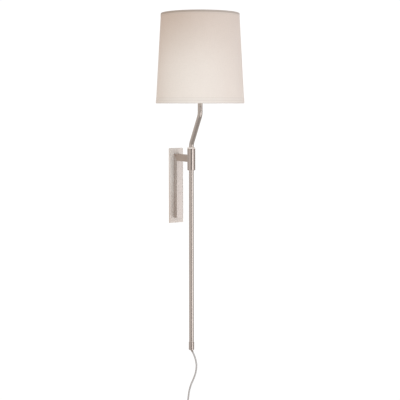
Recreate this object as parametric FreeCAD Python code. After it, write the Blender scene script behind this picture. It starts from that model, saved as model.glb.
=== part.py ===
"""Wall-mounted plug-in pharmacy lamp.

Millimetres, +Z up. The wall is the plane Y = 0 and the room is on its -Y side. The origin is the centre of
the wall plate on the wall. A square-tube bracket carries a sleeve, and a bent pole slides and turns in the
sleeve. The pole holds a lamp holder and a tapered drum shade at its top, and its mains lead leaves at its
lower end.
"""

import FreeCAD, Part

import math
import os

Vector = FreeCAD.Vector
UP = Vector(0, 0, 1)

# Wall plate, strap and bracket
PLATE_WIDTH = 52.0
PLATE_HEIGHT = 256.0
PLATE_DEPTH = 7.4
PLATE_WALL = 1.2
PLATE_EDGE_ROUND = 0.8
STRAP_WIDTH = 30.0
STRAP_HEIGHT = 240.0
STRAP_THICKNESS = 2.0
STRAP_TAB_DEPTH = 5.6
WALL_HOLE_SPACING = 190.0
WALL_HOLE_RADIUS = 2.5
COVER_SCREW_RADIUS = 2.0
COVER_SCREW_LENGTH = 9.0
BAR_SIDE = 22.2
BAR_WALL = 1.6
BAR_EDGE_ROUND = 0.8
POST_HEIGHT = 216.8
POST_SCREW_RADIUS = 2.5
POST_SCREW_SPACING = 140.0

# Sleeve, bushings and friction pad
ARM_REACH = 111.0
SLEEVE_LENGTH = 72.0
SLEEVE_RADIUS = 13.3
SLEEVE_BORE = 10.86
SLEEVE_CENTRE_Z = 95.0
SLEEVE_CHAMFER = 0.9
BUSHING_LENGTH = 18.0
BUSHING_RADIUS = 10.80
BUSHING_BORE = 8.00
BUSHING_FLANGE_RADIUS = 11.9
BUSHING_SEAT_DEPTH = 1.2
BUSHING_SEAT_GAP = 0.05
BUSHING_PROUD = 0.4
COLLAR_RADIUS = 12.8
COLLAR_HEIGHT = 3.4
FRICTION_SCREW_RADIUS = 3.0
FRICTION_PAD_RADIUS = 2.4

# Pole and its lower end
POLE_RADIUS = 7.94
POLE_WALL = 1.2
POLE_BOTTOM_Z = -541.0
LOWER_BEND_Z = 144.5
UPPER_BEND_Z = 243.0
STEM_OFFSET = 59.0
POLE_BEND_RADIUS = 34.0
POLE_TOP_Z = 300.0
INNER_LEAD_START_Z = -540.0
CAP_RADIUS = 9.2
CAP_TOP_Z = -523.5
CAP_BOTTOM_Z = -550.2
GLAND_LENGTH = 9.0
GLAND_TILT = 27.0

# Lamp holder and bulb, heights counted from the pole's top
HOLDER_RADIUS = 17.0
HOLDER_FLOOR = 2.5
CUP_HEIGHT = 16.0
SHELL_TOP = 66.0
SWITCH_HEIGHT = 29.0
BODY_RADIUS = 14.6
FITTER_HEIGHT = 53.5
BULB_SEAT = 40.0
BULB_RADIUS = 30.0
BULB_CENTRE = 116.0

# Shade, measured on its fabric
SHADE_BOTTOM_Z = 279.9
SHADE_HEIGHT = 285.4
SHADE_BOTTOM_RADIUS = 142.8
SHADE_TOP_RADIUS = 125.8
FABRIC_THICKNESS = 0.7
LINER_THICKNESS = 0.8
TRIM_THICKNESS = 0.5
TRIM_HEIGHT_BOTTOM = 17.0
TRIM_HEIGHT_TOP = 10.0
HOOP_WIRE_RADIUS = 1.6
SPOKE_RADIUS = 1.5

# Mains lead
CORD_RADIUS = 3.0
INNER_LEAD_RADIUS = 2.75
COIL_CENTRE_Z = -802.0
COIL_MEAN_RADIUS = 35.4
COIL_HALF_DEPTH = 6.0
COIL_HALF_WIDTH = 13.5
COIL_OFFSET_Y = 10.5
TAIL_X = -38.4
PLUG_DROP = 27.0

PLATE_FRONT_Y = -PLATE_DEPTH
BAR_FRONT_Y = PLATE_FRONT_Y - BAR_SIDE
BAR_TOP_Z = POST_HEIGHT / 2
ARM_BOTTOM_Z = BAR_TOP_Z - BAR_SIDE
POLE_Y = -ARM_REACH
STEM_Y = POLE_Y - STEM_OFFSET
SLEEVE_TOP_Z = SLEEVE_CENTRE_Z + SLEEVE_LENGTH / 2
SLEEVE_BOTTOM_Z = SLEEVE_CENTRE_Z - SLEEVE_LENGTH / 2
COIL_Y = POLE_Y + COIL_OFFSET_Y
HOOP_INSET = FABRIC_THICKNESS + LINER_THICKNESS + HOOP_WIRE_RADIUS + 0.05

GLAND_DIRECTION = Vector(math.sin(math.radians(GLAND_TILT)), 0, -math.cos(math.radians(GLAND_TILT)))
GLAND_KNEE = Vector(0, POLE_Y, CAP_BOTTOM_Z)
GLAND_TIP = GLAND_KNEE.add(Vector(GLAND_DIRECTION).multiply(GLAND_LENGTH))

# The lead's route below the strain relief, as X and Z in the plane Y = POLE_Y
CORD_ROUTE = [
    (GLAND_TIP.x, GLAND_TIP.z),
    (GLAND_TIP.x + 18.0 * GLAND_DIRECTION.x, GLAND_TIP.z + 18.0 * GLAND_DIRECTION.z),
    (19.2, -600.0),
    (16.8, -624.0),
    (7.5, -650.0),
    (-5.5, -673.0),
    (-12.0, -698.0),
    (-14.0, -724.0),
    (-19.0, -750.0),
    (-28.5, -773.0),
    (-32.4, -796.0),
]


def cylinder(radius, low, high, x=0.0, y=0.0):
    """Upright cylinder from one height to another."""
    return Part.makeCylinder(radius, high - low, Vector(x, y, low))


def pin(radius, start, end):
    """Cylinder between two points."""
    along = end.sub(start)
    return Part.makeCylinder(radius, along.Length, start, along)


def box(x0, x1, y0, y1, z0, z1):
    return Part.makeBox(x1 - x0, y1 - y0, z1 - z0, Vector(x0, y0, z0))


def rectangle(width, depth, z):
    """Closed outline centred on the Z axis."""
    corners = [(-1, -1), (1, -1), (1, 1), (-1, 1), (-1, -1)]
    return Part.makePolygon([Vector(x * width / 2, y * depth / 2, z) for x, y in corners])


def turned(profile, x=0.0, y=0.0):
    """Solid of revolution about the upright line at x, y, from (radius, height) points."""
    points = [Vector(x + r, y, z) for r, z in profile]
    face = Part.Face(Part.makePolygon(points + points[:1]))
    return face.revolve(Vector(x, y, 0), UP, 360)


def prism_x(outline, half_width):
    """Solid of a (y, z) outline, drawn out to both sides of X = 0."""
    points = [Vector(-half_width, y, z) for y, z in outline]
    face = Part.Face(Part.makePolygon(points + points[:1]))
    return face.extrude(Vector(2 * half_width, 0, 0))


def hex_nut(across_flats, thickness, bore, centre, axis):
    """Nut whose lower face is centred on a point."""
    corner = across_flats / math.sqrt(3)
    nut = Part.makeCylinder(corner, thickness, centre, axis)
    side = axis.cross(Vector(1, 0, 0))
    if side.Length < 0.5:
        side = axis.cross(Vector(0, 1, 0))
    rotation = FreeCAD.Rotation(axis, 60)
    points = [centre.add(side.normalize().multiply(corner))]
    for _ in range(5):
        points.append(centre.add(rotation.multVec(points[-1].sub(centre))))
    prism = Part.Face(Part.makePolygon(points + points[:1])).extrude(Vector(axis).multiply(thickness))
    return nut.common(prism).cut(Part.makeCylinder(bore, thickness, centre, axis))


def rounded_route(points, radii):
    """Wire of straight runs joined by tangent arcs, with one radius for each inner point."""
    edges = []
    start = points[0]
    for before, corner, after, radius in zip(points, points[1:], points[2:], radii):
        back = before.sub(corner).normalize()
        ahead = after.sub(corner).normalize()
        half_turn = (math.pi - back.getAngle(ahead)) / 2
        reach = radius * math.tan(half_turn)
        arc_start = corner.add(Vector(back).multiply(reach))
        arc_end = corner.add(Vector(ahead).multiply(reach))
        inward = Vector(back).add(ahead).normalize()
        middle = corner.add(inward.multiply(radius / math.cos(half_turn) - radius))
        edges.append(Part.LineSegment(start, arc_start).toShape())
        edges.append(Part.Arc(arc_start, middle, arc_end).toShape())
        start = arc_end
    edges.append(Part.LineSegment(start, points[-1]).toShape())
    return Part.Wire(edges)


def swept(route, radius):
    """Round rod along a wire."""
    first = route.Edges[0]
    start = first.valueAt(first.FirstParameter)
    along = first.tangentAt(first.FirstParameter)
    circle = Part.Wire([Part.Circle(start, along, radius).toShape()])
    return route.makePipeShell([circle], True, False)


def largest_radii(points):
    """Arc radii that take 0.45 of the shorter run beside each inner point."""
    radii = []
    for before, corner, after in zip(points, points[1:], points[2:]):
        runs = before.sub(corner), after.sub(corner)
        half_turn = (math.pi - runs[0].getAngle(runs[1])) / 2
        radii.append(0.45 * min(run.Length for run in runs) / math.tan(half_turn))
    return radii


def piece_nearest(shape, point):
    """The solid of a cut shape that lies nearest a point."""
    return min(shape.Solids, key=lambda solid: solid.distToShape(Part.Vertex(point))[0])


# Wall plate and strap


def wall_strap():
    """Flat steel strap with a folded tab at each end, screwed to the wall through two holes."""
    half_width = STRAP_WIDTH / 2
    half_height = STRAP_HEIGHT / 2
    strap = box(-half_width, half_width, -STRAP_THICKNESS, 0, -half_height, half_height)
    for side in (-1, 1):
        z0, z1 = sorted((side * (half_height - STRAP_THICKNESS), side * half_height))
        strap = strap.fuse(box(-half_width / 2, half_width / 2, -STRAP_TAB_DEPTH, 0, z0, z1))
    for side in (-1, 1):
        centre = Vector(0, 1, side * WALL_HOLE_SPACING / 2)
        strap = strap.cut(Part.makeCylinder(WALL_HOLE_RADIUS, STRAP_THICKNESS + 2, centre, Vector(0, -1, 0)))
        strap = strap.cut(cover_screw(side, 0.05))
    return strap.removeSplitter()


def cover_screw(side, clearance=0.0):
    """Grub screw through the plate's rim into a strap tab; side is 1 at the top and -1 below."""
    outer = side * (PLATE_HEIGHT / 2 - 0.3)
    inner = outer - side * COVER_SCREW_LENGTH
    y = -STRAP_TAB_DEPTH / 2 - 0.9
    return pin(COVER_SCREW_RADIUS + clearance, Vector(0, y, inner), Vector(0, y, outer))


def cover_screws():
    """Both grub screws, each with a hexagon socket in its outer end."""
    screws = []
    for side in (-1, 1):
        screw = cover_screw(side)
        y = -STRAP_TAB_DEPTH / 2 - 0.9
        outer = Vector(0, y, side * (PLATE_HEIGHT / 2 - 0.3))
        socket = hex_nut(2.0, 2.5, 0.01, outer, Vector(0, 0, -side))
        screws.append(screw.cut(socket))
    return Part.makeCompound(screws)


def post_screw_points():
    return [Vector(0, PLATE_FRONT_Y, side * POST_SCREW_SPACING / 2) for side in (-1, 1)]


def post_screw_holes():
    """Clearance for the post's screws, through the plate's front and the post's back."""
    across = Vector(0, 2, 0)
    radius = POST_SCREW_RADIUS + 0.1
    return [pin(radius, point.add(across), point.sub(across)) for point in post_screw_points()]


def wall_plate():
    """Pressed tray, open towards the wall."""
    half_width = PLATE_WIDTH / 2
    half_height = PLATE_HEIGHT / 2
    plate = box(-half_width, half_width, -PLATE_DEPTH, 0, -half_height, half_height)
    front = [e for e in plate.Edges if all(abs(v.Point.y + PLATE_DEPTH) < 0.01 for v in e.Vertexes)]
    plate = plate.makeFillet(PLATE_EDGE_ROUND, front)
    hollow_width = half_width - PLATE_WALL
    hollow_height = half_height - PLATE_WALL
    hollow_front = -PLATE_DEPTH + PLATE_WALL
    plate = plate.cut(box(-hollow_width, hollow_width, hollow_front, 1, -hollow_height, hollow_height))
    plate = plate.cut(post_screw_holes())
    for side in (-1, 1):
        hole = cover_screw(side, 0.1)
        plate = plate.cut(hole.fuse(hole.translated(Vector(0, 0, side))))
    return plate


def bracket_screws():
    """Pan-head screws from inside the tray into the post."""
    screws = []
    for point in post_screw_points():
        head_base = point.add(Vector(0, PLATE_WALL, 0))
        head = Part.makeCylinder(4.5, 2.6, head_base, Vector(0, 1, 0))
        rim = [e for e in head.Edges if e.Vertexes[0].Point.y > head_base.y + 2.5 and len(e.Vertexes) == 1]
        head = head.makeFillet(0.8, rim)
        slot = box(-0.6, 0.6, head_base.y + 1.4, head_base.y + 3, point.z - 5, point.z + 5)
        shank = Part.makeCylinder(POST_SCREW_RADIUS, 10, head_base, Vector(0, -1, 0))
        screws.append(head.cut(slot).fuse(shank).removeSplitter())
    return Part.makeCompound(screws)


def post_nuts():
    """Weld nuts on the inside of the post's back wall."""
    nuts = []
    for point in post_screw_points():
        seat = point.add(Vector(0, -BAR_WALL, 0))
        nuts.append(hex_nut(8.0, 4.0, POST_SCREW_RADIUS + 0.03, seat, Vector(0, -1, 0)))
    return Part.makeCompound(nuts)


# Bracket


def mitre_line(y):
    """Height of the 45 degree joint between post and arm."""
    return BAR_TOP_Z + (y - PLATE_FRONT_Y)


def round_long_edges(bar, direction):
    """Round the four outer edges of a bar that run along a direction."""
    edges = []
    for edge in bar.Edges:
        along = edge.Vertexes[-1].Point.sub(edge.Vertexes[0].Point)
        if abs(along.normalize().dot(direction)) > 0.999 and edge.Length > BAR_SIDE:
            edges.append(edge)
    return bar.makeFillet(BAR_EDGE_ROUND, edges)


def bracket_post():
    """Upright square tube, mitred at its top."""
    back, front = PLATE_FRONT_Y, BAR_FRONT_Y
    outline = [(back, -BAR_TOP_Z), (front, -BAR_TOP_Z), (front, mitre_line(front)), (back, mitre_line(back))]
    post = round_long_edges(prism_x(outline, BAR_SIDE / 2), UP)
    back, front = back - BAR_WALL, front + BAR_WALL
    hollow = [(back, -BAR_TOP_Z), (front, -BAR_TOP_Z), (front, mitre_line(front)), (back, mitre_line(back))]
    post = post.cut(prism_x(hollow, BAR_SIDE / 2 - BAR_WALL))
    return post.cut(post_screw_holes())


def bracket_arm():
    """Level square tube, mitred at the post and coped to the sleeve."""
    tip = POLE_Y + 6.0
    back, front = PLATE_FRONT_Y, BAR_FRONT_Y
    outline = [(back, BAR_TOP_Z), (front, ARM_BOTTOM_Z), (tip, ARM_BOTTOM_Z), (tip, BAR_TOP_Z)]
    arm = round_long_edges(prism_x(outline, BAR_SIDE / 2), Vector(0, 1, 0))
    back, front = back - BAR_WALL, front + BAR_WALL
    low, high = ARM_BOTTOM_Z + BAR_WALL, BAR_TOP_Z - BAR_WALL
    hollow = [(back, high), (front, low), (tip, low), (tip, high)]
    arm = arm.cut(prism_x(hollow, BAR_SIDE / 2 - BAR_WALL))
    return arm.cut(cylinder(SLEEVE_RADIUS, SLEEVE_BOTTOM_Z, SLEEVE_TOP_Z, 0, POLE_Y))


def post_cap():
    """Square plug with a thin head that closes the post's lower end."""
    half = BAR_SIDE / 2
    plug = half - BAR_WALL - 0.05
    middle = (PLATE_FRONT_Y + BAR_FRONT_Y) / 2
    head = box(-half, half, BAR_FRONT_Y, PLATE_FRONT_Y, -BAR_TOP_Z - 1.2, -BAR_TOP_Z)
    head = head.makeFillet(BAR_EDGE_ROUND, [e for e in head.Edges if abs(e.tangentAt(0).z) > 0.9])
    stub = box(-plug, plug, middle - plug, middle + plug, -BAR_TOP_Z, -BAR_TOP_Z + 7)
    return head.fuse(stub).removeSplitter()


def friction_screw_hole():
    return pin(
        FRICTION_SCREW_RADIUS + 0.03,
        Vector(POLE_RADIUS + 0.5, POLE_Y, SLEEVE_CENTRE_Z),
        Vector(SLEEVE_RADIUS + 1, POLE_Y, SLEEVE_CENTRE_Z),
    )


def sleeve():
    """Round sleeve, counterbored at both mouths for the bushings' flanges."""
    chamfer = SLEEVE_CHAMFER
    recess = BUSHING_SEAT_DEPTH + BUSHING_SEAT_GAP
    wide = BUSHING_FLANGE_RADIUS + 0.1
    half_profile = [
        (SLEEVE_BORE, SLEEVE_BOTTOM_Z + recess),
        (wide, SLEEVE_BOTTOM_Z + recess),
        (wide, SLEEVE_BOTTOM_Z),
        (SLEEVE_RADIUS - chamfer, SLEEVE_BOTTOM_Z),
        (SLEEVE_RADIUS, SLEEVE_BOTTOM_Z + chamfer),
        (SLEEVE_RADIUS, SLEEVE_TOP_Z - chamfer),
        (SLEEVE_RADIUS - chamfer, SLEEVE_TOP_Z),
        (wide, SLEEVE_TOP_Z),
        (wide, SLEEVE_TOP_Z - recess),
        (SLEEVE_BORE, SLEEVE_TOP_Z - recess),
    ]
    return turned(half_profile, 0, POLE_Y).cut(friction_screw_hole())


def bushing(side):
    """Flanged plastic lining of one mouth of the sleeve; side is 1 for the upper one, which has a wide collar."""
    mouth = SLEEVE_TOP_Z if side > 0 else SLEEVE_BOTTOM_Z
    outer = mouth + side * (COLLAR_HEIGHT if side > 0 else BUSHING_PROUD)
    seat = mouth - side * BUSHING_SEAT_DEPTH
    inner = mouth - side * BUSHING_LENGTH
    rim = BUSHING_FLANGE_RADIUS
    profile = [
        (BUSHING_BORE, inner),
        (BUSHING_RADIUS, inner),
        (BUSHING_RADIUS, seat),
        (rim, seat),
    ]
    if side > 0:
        profile += [(rim, mouth + BUSHING_SEAT_GAP), (COLLAR_RADIUS, mouth + BUSHING_SEAT_GAP)]
        rim = COLLAR_RADIUS
    profile += [
        (rim, outer - side * 0.4),
        (rim - 0.4, outer),
        (BUSHING_BORE, outer),
    ]
    return turned(profile, 0, POLE_Y)


def friction_pad():
    """Soft tip that presses on the pole."""
    start = Vector(POLE_RADIUS + 0.12, POLE_Y, SLEEVE_CENTRE_Z)
    return pin(FRICTION_PAD_RADIUS, start, start.add(Vector(1.3, 0, 0)))


def friction_screw():
    """Headless screw behind the soft tip, flush with the sleeve, with a hexagon socket."""
    start = Vector(POLE_RADIUS + 1.42, POLE_Y, SLEEVE_CENTRE_Z)
    end = Vector(SLEEVE_RADIUS - 0.2, POLE_Y, SLEEVE_CENTRE_Z)
    socket = hex_nut(3.0, 2.0, 0.01, end, Vector(-1, 0, 0))
    return pin(FRICTION_SCREW_RADIUS, start, end).cut(socket)


# Pole


def pole_corners(low, high):
    return [
        Vector(0, POLE_Y, low),
        Vector(0, POLE_Y, LOWER_BEND_Z),
        Vector(0, STEM_Y, UPPER_BEND_Z),
        Vector(0, STEM_Y, high),
    ]


def pole():
    """Bent round tube."""
    route = rounded_route(pole_corners(POLE_BOTTOM_Z, POLE_TOP_Z), [POLE_BEND_RADIUS] * 2)
    return swept(route, POLE_RADIUS).cut(swept(route, POLE_RADIUS - POLE_WALL))


def inner_lead():
    """Lead inside the pole, from the ferrule to the lamp holder."""
    corners = pole_corners(INNER_LEAD_START_Z, POLE_TOP_Z + 20.4)
    return swept(rounded_route(corners, [POLE_BEND_RADIUS] * 2), INNER_LEAD_RADIUS)


def end_cap():
    """Turned ferrule over the pole's lower end."""
    bore = POLE_RADIUS + 0.03
    profile = [
        (bore, POLE_BOTTOM_Z - 0.05),
        (4.6, POLE_BOTTOM_Z - 0.05),
        (4.6, CAP_BOTTOM_Z),
        (CAP_RADIUS - 1.0, CAP_BOTTOM_Z),
        (CAP_RADIUS, CAP_BOTTOM_Z + 1.0),
        (CAP_RADIUS, CAP_TOP_Z - 0.6),
        (CAP_RADIUS - 0.6, CAP_TOP_Z),
        (bore, CAP_TOP_Z),
    ]
    return turned(profile, 0, POLE_Y)


def cord_bushing():
    """Strain relief, flanged inside the ferrule; its flexible tip bends aside with the lead."""
    shoulder = POLE_BOTTOM_Z
    profile = [
        (0, CAP_BOTTOM_Z),
        (4.0, CAP_BOTTOM_Z),
        (4.5, CAP_BOTTOM_Z + 1.5),
        (4.5, shoulder),
        (6.2, shoulder),
        (6.2, shoulder + 2.0),
        (4.2, shoulder + 2.5),
        (3.4, shoulder + 16.0),
        (INNER_LEAD_RADIUS + 0.02, shoulder + 16.0),
        (INNER_LEAD_RADIUS + 0.02, INNER_LEAD_START_Z - 0.02),
        (0, INNER_LEAD_START_Z - 0.02),
    ]
    knee = Part.makeSphere(4.0, GLAND_KNEE)
    tip = Part.makeCone(4.0, 3.3, GLAND_LENGTH, GLAND_KNEE, GLAND_DIRECTION)
    return turned(profile, 0, POLE_Y).fuse([knee, tip]).removeSplitter()


# Lamp holder


def at_holder(profile):
    """Turned piece on the stem's axis, its heights counted from the pole's top."""
    return turned([(r, POLE_TOP_Z + z) for r, z in profile], 0, STEM_Y)


def ring(inner, outer, low, high):
    return at_holder([(inner, low), (outer, low), (outer, high), (inner, high)])


def pole_insert():
    """Threaded brass insert in the pole's top."""
    return ring(4.95, POLE_RADIUS - POLE_WALL - 0.02, -14.0, -0.1)


def nipple():
    return ring(3.6, 4.9, -12.0, 11.0)


def seat_washer():
    return ring(4.95, 11.0, 0.0, HOLDER_FLOOR)


def lock_nut():
    centre = Vector(0, STEM_Y, POLE_TOP_Z + HOLDER_FLOOR + 1.1)
    return hex_nut(14.0, 4.5, 4.93, centre, UP)


def switch_hole():
    height = POLE_TOP_Z + SWITCH_HEIGHT
    return pin(3.4, Vector(9.0, STEM_Y, height), Vector(HOLDER_RADIUS + 3, STEM_Y, height))


def socket_cap():
    """Cup that closes the lamp holder's lower end."""
    floor, rim, wall = HOLDER_FLOOR, HOLDER_FLOOR + CUP_HEIGHT, 0.9
    profile = [
        (4.95, floor),
        (10.0, floor),
        (14.5, floor + 2.5),
        (HOLDER_RADIUS, floor + 8.0),
        (HOLDER_RADIUS, rim),
        (HOLDER_RADIUS - wall, rim),
        (HOLDER_RADIUS - wall, floor + 8.3),
        (13.9, floor + 3.3),
        (9.8, floor + wall),
        (4.95, floor + wall),
    ]
    return at_holder(profile)


def socket_shell():
    """Thin cylinder round the lamp holder, its lower rim inside the cup."""
    shell = ring(HOLDER_RADIUS - 1.6, HOLDER_RADIUS - 0.95, HOLDER_FLOOR + 11.0, SHELL_TOP)
    return shell.cut(switch_hole())


def socket_liner():
    """Insulating sleeve inside the shell."""
    liner = ring(HOLDER_RADIUS - 2.2, HOLDER_RADIUS - 1.65, HOLDER_FLOOR + 12.0, SHELL_TOP - 2.0)
    return liner.cut(switch_hole())


def socket_body():
    """Moulded switch body under the bulb, waisted where the terminal screws sit."""
    profile = [
        (0, 20.5),
        (10.5, 20.5),
        (10.5, 34.0),
        (BODY_RADIUS, 34.0),
        (BODY_RADIUS, BULB_SEAT - 2.0),
        (0, BULB_SEAT - 2.0),
    ]
    height = POLE_TOP_Z + SWITCH_HEIGHT
    bore = pin(2.06, Vector(3.0, STEM_Y, height), Vector(20.0, STEM_Y, height))
    return at_holder(profile).cut(bore)


def terminal_screws():
    """Two binding screws on the switch body's sides."""
    screws = []
    for side in (-1, 1):
        seat = Vector(0, STEM_Y + side * 10.52, POLE_TOP_Z + 27.0)
        head = Part.makeCylinder(3.2, 1.8, seat, Vector(0, side, 0))
        slot = box(-4, 4, *sorted((seat.y + side * 1.1, seat.y + side * 2.5)), seat.z - 0.5, seat.z + 0.5)
        screws.append(head.cut(slot))
    return Part.makeCompound(screws)


def screw_shell():
    """Thin brass shell that takes the bulb's cap."""
    return ring(13.75, 14.2, BULB_SEAT - 2.0, SHELL_TOP - 4.0)


def centre_contact():
    """Brass leaf under the bulb, bent up at its free end."""
    low = POLE_TOP_Z + BULB_SEAT - 2.0
    leaf = [(-8, 0), (2, 0), (2, 1.5), (-3, 1.5), (-3, 1.1), (-0.5, 1.1), (-0.5, 0.4), (-8, 0.4)]
    return prism_x([(STEM_Y + y, low + z) for y, z in leaf], 2.5)


def socket_collar():
    """Threaded insulating collar with the flange that carries the shade."""
    low = FITTER_HEIGHT - 3.0
    profile = [
        (HOLDER_RADIUS - 0.9, low),
        (24.0, low),
        (24.0, FITTER_HEIGHT),
        (19.6, FITTER_HEIGHT),
        (19.6, SHELL_TOP),
        (HOLDER_RADIUS - 0.9, SHELL_TOP),
    ]
    return at_holder(profile)


def shade_lock_ring():
    """Knurled ring screwed on the collar over the shade's fitter."""
    low = FITTER_HEIGHT + 2.05
    lock_ring = ring(19.65, 24.5, low, low + 5.0)
    grips = 24
    for i in range(grips):
        angle = 2 * math.pi * i / grips
        x, y = 25.0 * math.cos(angle), STEM_Y + 25.0 * math.sin(angle)
        lock_ring = lock_ring.cut(cylinder(1.2, POLE_TOP_Z + low + 1.0, POLE_TOP_Z + low + 6.0, x, y))
    return lock_ring


def switch_shaft():
    """Metal spindle of the turn switch."""
    height = POLE_TOP_Z + SWITCH_HEIGHT
    return pin(2.0, Vector(4.0, STEM_Y, height), Vector(27.0, STEM_Y, height))


def switch_knob():
    """Fluted knob on the spindle, with a flat bar for the fingers."""
    height = POLE_TOP_Z + SWITCH_HEIGHT
    knob = pin(6.2, Vector(19.5, STEM_Y, height), Vector(30.0, STEM_Y, height))
    wing = box(22.0, 34.0, STEM_Y - 2.0, STEM_Y + 2.0, height - 5.6, height + 5.6)
    wing = wing.makeFillet(1.2, [e for e in wing.Edges if e.Length > 10.0])
    flutes = 12
    for i in range(flutes):
        angle = 2 * math.pi * (i + 0.5) / flutes
        y, z = STEM_Y + 6.6 * math.cos(angle), height + 6.6 * math.sin(angle)
        knob = knob.cut(pin(0.9, Vector(20.5, y, z), Vector(31.0, y, z)))
    return knob.fuse(wing).cut(switch_shaft()).removeSplitter()


# Bulb


def bulb_outline(shrink):
    """Glass outline from its neck to its crown, as edges in the XZ plane through the stem."""
    radius = BULB_RADIUS - shrink
    centre = POLE_TOP_Z + BULB_CENTRE
    neck = (14.0 - shrink, POLE_TOP_Z + SHELL_TOP + 1.0)
    drop = centre - neck[1]
    reach = math.hypot(neck[0], drop)
    angle = math.atan2(-drop, neck[0]) + math.acos(radius / reach)
    touch = Vector(radius * math.cos(angle), STEM_Y, centre + radius * math.sin(angle))
    middle = (angle + math.pi / 2) / 2
    side = Vector(radius * math.cos(middle), STEM_Y, centre + radius * math.sin(middle))
    crown = Vector(0, STEM_Y, centre + radius)
    start = Vector(neck[0], STEM_Y, neck[1])
    foot = Vector(0, STEM_Y, neck[1])
    return [
        Part.LineSegment(foot, start).toShape(),
        Part.LineSegment(start, touch).toShape(),
        Part.Arc(touch, side, crown).toShape(),
        Part.LineSegment(crown, foot).toShape(),
    ]


def bulb_glass():
    """Opal glass envelope."""
    solids = []
    for shrink in (0, 0.9):
        outline = Part.Face(Part.Wire(bulb_outline(shrink)))
        solids.append(outline.revolve(Vector(0, STEM_Y, 0), UP, 360))
    return solids[0].cut(solids[1])


def bulb_base():
    """Threaded metal cap of the bulb, with rounded thread crests."""
    low, high, crests = BULB_SEAT + 4.0, SHELL_TOP - 3.0, 6
    pitch = (high - low) / crests
    profile = [(0, low - 1.5), (9.0, low - 1.5), (12.3, low)]
    for i in range(crests):
        foot = low + pitch * i
        profile += [(12.9, foot + 0.3 * pitch), (12.9, foot + 0.7 * pitch), (12.3, foot + pitch)]
    profile += [(14.0, SHELL_TOP - 1.0), (14.0, SHELL_TOP + 0.95), (0, SHELL_TOP + 0.95)]
    return at_holder(profile)


def bulb_contact():
    """Insulator and solder tip under the bulb's cap."""
    low = BULB_SEAT
    return at_holder([(0, low - 0.4), (2.5, low - 0.3), (4.0, low + 0.6), (6.5, low + 2.45), (0, low + 2.45)])


# Shade


def shade_radius(z):
    """Radius of the fabric's outside at a height above the shade's lower edge."""
    return SHADE_BOTTOM_RADIUS + (SHADE_TOP_RADIUS - SHADE_BOTTOM_RADIUS) * z / SHADE_HEIGHT


def shade_skin(inset, thickness):
    """Tapered shell, a given distance inside the fabric's outside."""
    corners = [(0, inset + thickness), (0, inset), (SHADE_HEIGHT, inset), (SHADE_HEIGHT, inset + thickness)]
    return turned([(shade_radius(z) - depth, SHADE_BOTTOM_Z + z) for z, depth in corners], 0, STEM_Y)


def shade_fabric():
    return shade_skin(0, FABRIC_THICKNESS)


def shade_liner():
    return shade_skin(FABRIC_THICKNESS, LINER_THICKNESS)


def hoop(z):
    """Wire hoop just inside the liner, at a height above the shade's lower edge."""
    radius = shade_radius(z) - HOOP_INSET
    return Part.makeTorus(radius, HOOP_WIRE_RADIUS, Vector(0, STEM_Y, SHADE_BOTTOM_Z + z))


def shade_ring_bottom():
    return hoop(HOOP_WIRE_RADIUS + 0.1)


def shade_ring_top():
    return hoop(SHADE_HEIGHT - HOOP_WIRE_RADIUS - 0.1)


def spokes():
    """Three wires from the fitter's ring down to the lower hoop."""
    hoop_z = SHADE_BOTTOM_Z + HOOP_WIRE_RADIUS + 0.1
    hoop_radius = shade_radius(0) - HOOP_INSET
    wires = []
    for degrees in (90, 210, 330):
        out = Vector(math.cos(math.radians(degrees)), math.sin(math.radians(degrees)), 0)
        start = Vector(0, STEM_Y, POLE_TOP_Z + FITTER_HEIGHT + 1.0).add(Vector(out).multiply(24.0))
        end = Vector(0, STEM_Y, hoop_z).add(Vector(out).multiply(hoop_radius))
        wires.append(pin(SPOKE_RADIUS, start, end))
    return wires[0].fuse(wires[1:])


def shade_fitter():
    """Ring that sits on the lamp holder's collar, with its three spokes."""
    fitter = ring(19.9, 26.0, FITTER_HEIGHT, FITTER_HEIGHT + 2.0)
    keep_clear = ring(19.0, 24.6, FITTER_HEIGHT - 4.0, FITTER_HEIGHT).fuse(
        ring(19.0, 24.6, FITTER_HEIGHT + 2.0, FITTER_HEIGHT + 8.0)
    )
    return fitter.fuse(spokes().cut(keep_clear)).cut(shade_ring_bottom()).removeSplitter()


def trim(edge, side, height):
    """Folded tape over an edge of the shade; side is 1 for the lower edge, whose tape runs upwards."""
    tape = TRIM_THICKNESS
    depth = FABRIC_THICKNESS + LINER_THICKNESS + 2 * HOOP_WIRE_RADIUS + 0.2
    inner_height = 2 * HOOP_WIRE_RADIUS + 0.8
    outside, top = shade_radius(edge), shade_radius(edge + side * height)
    profile = [
        (outside + tape, edge - side * tape),
        (top + tape, edge + side * height),
        (top, edge + side * height),
        (outside, edge),
        (outside - depth, edge),
        (outside - depth, edge + side * inner_height),
        (outside - depth - tape, edge + side * inner_height),
        (outside - depth - tape, edge - side * tape),
    ]
    return turned([(r, SHADE_BOTTOM_Z + z) for r, z in profile], 0, STEM_Y)


def shade_trim_bottom():
    return trim(0, 1, TRIM_HEIGHT_BOTTOM).cut(spokes())


def shade_trim_top():
    return trim(SHADE_HEIGHT, -1, TRIM_HEIGHT_TOP)


# Lead below the lamp


def cord():
    """Lead from the strain relief to the coil; prints its radii and compares its volume with its length."""
    points = [Vector(x, POLE_Y, z) for x, z in CORD_ROUTE]
    radii = largest_radii(points)
    route = rounded_route(points, radii)
    lead = swept(route, CORD_RADIUS)
    expected = math.pi * CORD_RADIUS**2 * route.Length
    print("cord radii", [round(r, 1) for r in radii], "length", round(route.Length, 1))
    print("cord volume / (section x length)", round(lead.Volume / expected, 4))
    return piece_nearest(lead.cut(cord_coil()), points[0])


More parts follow.
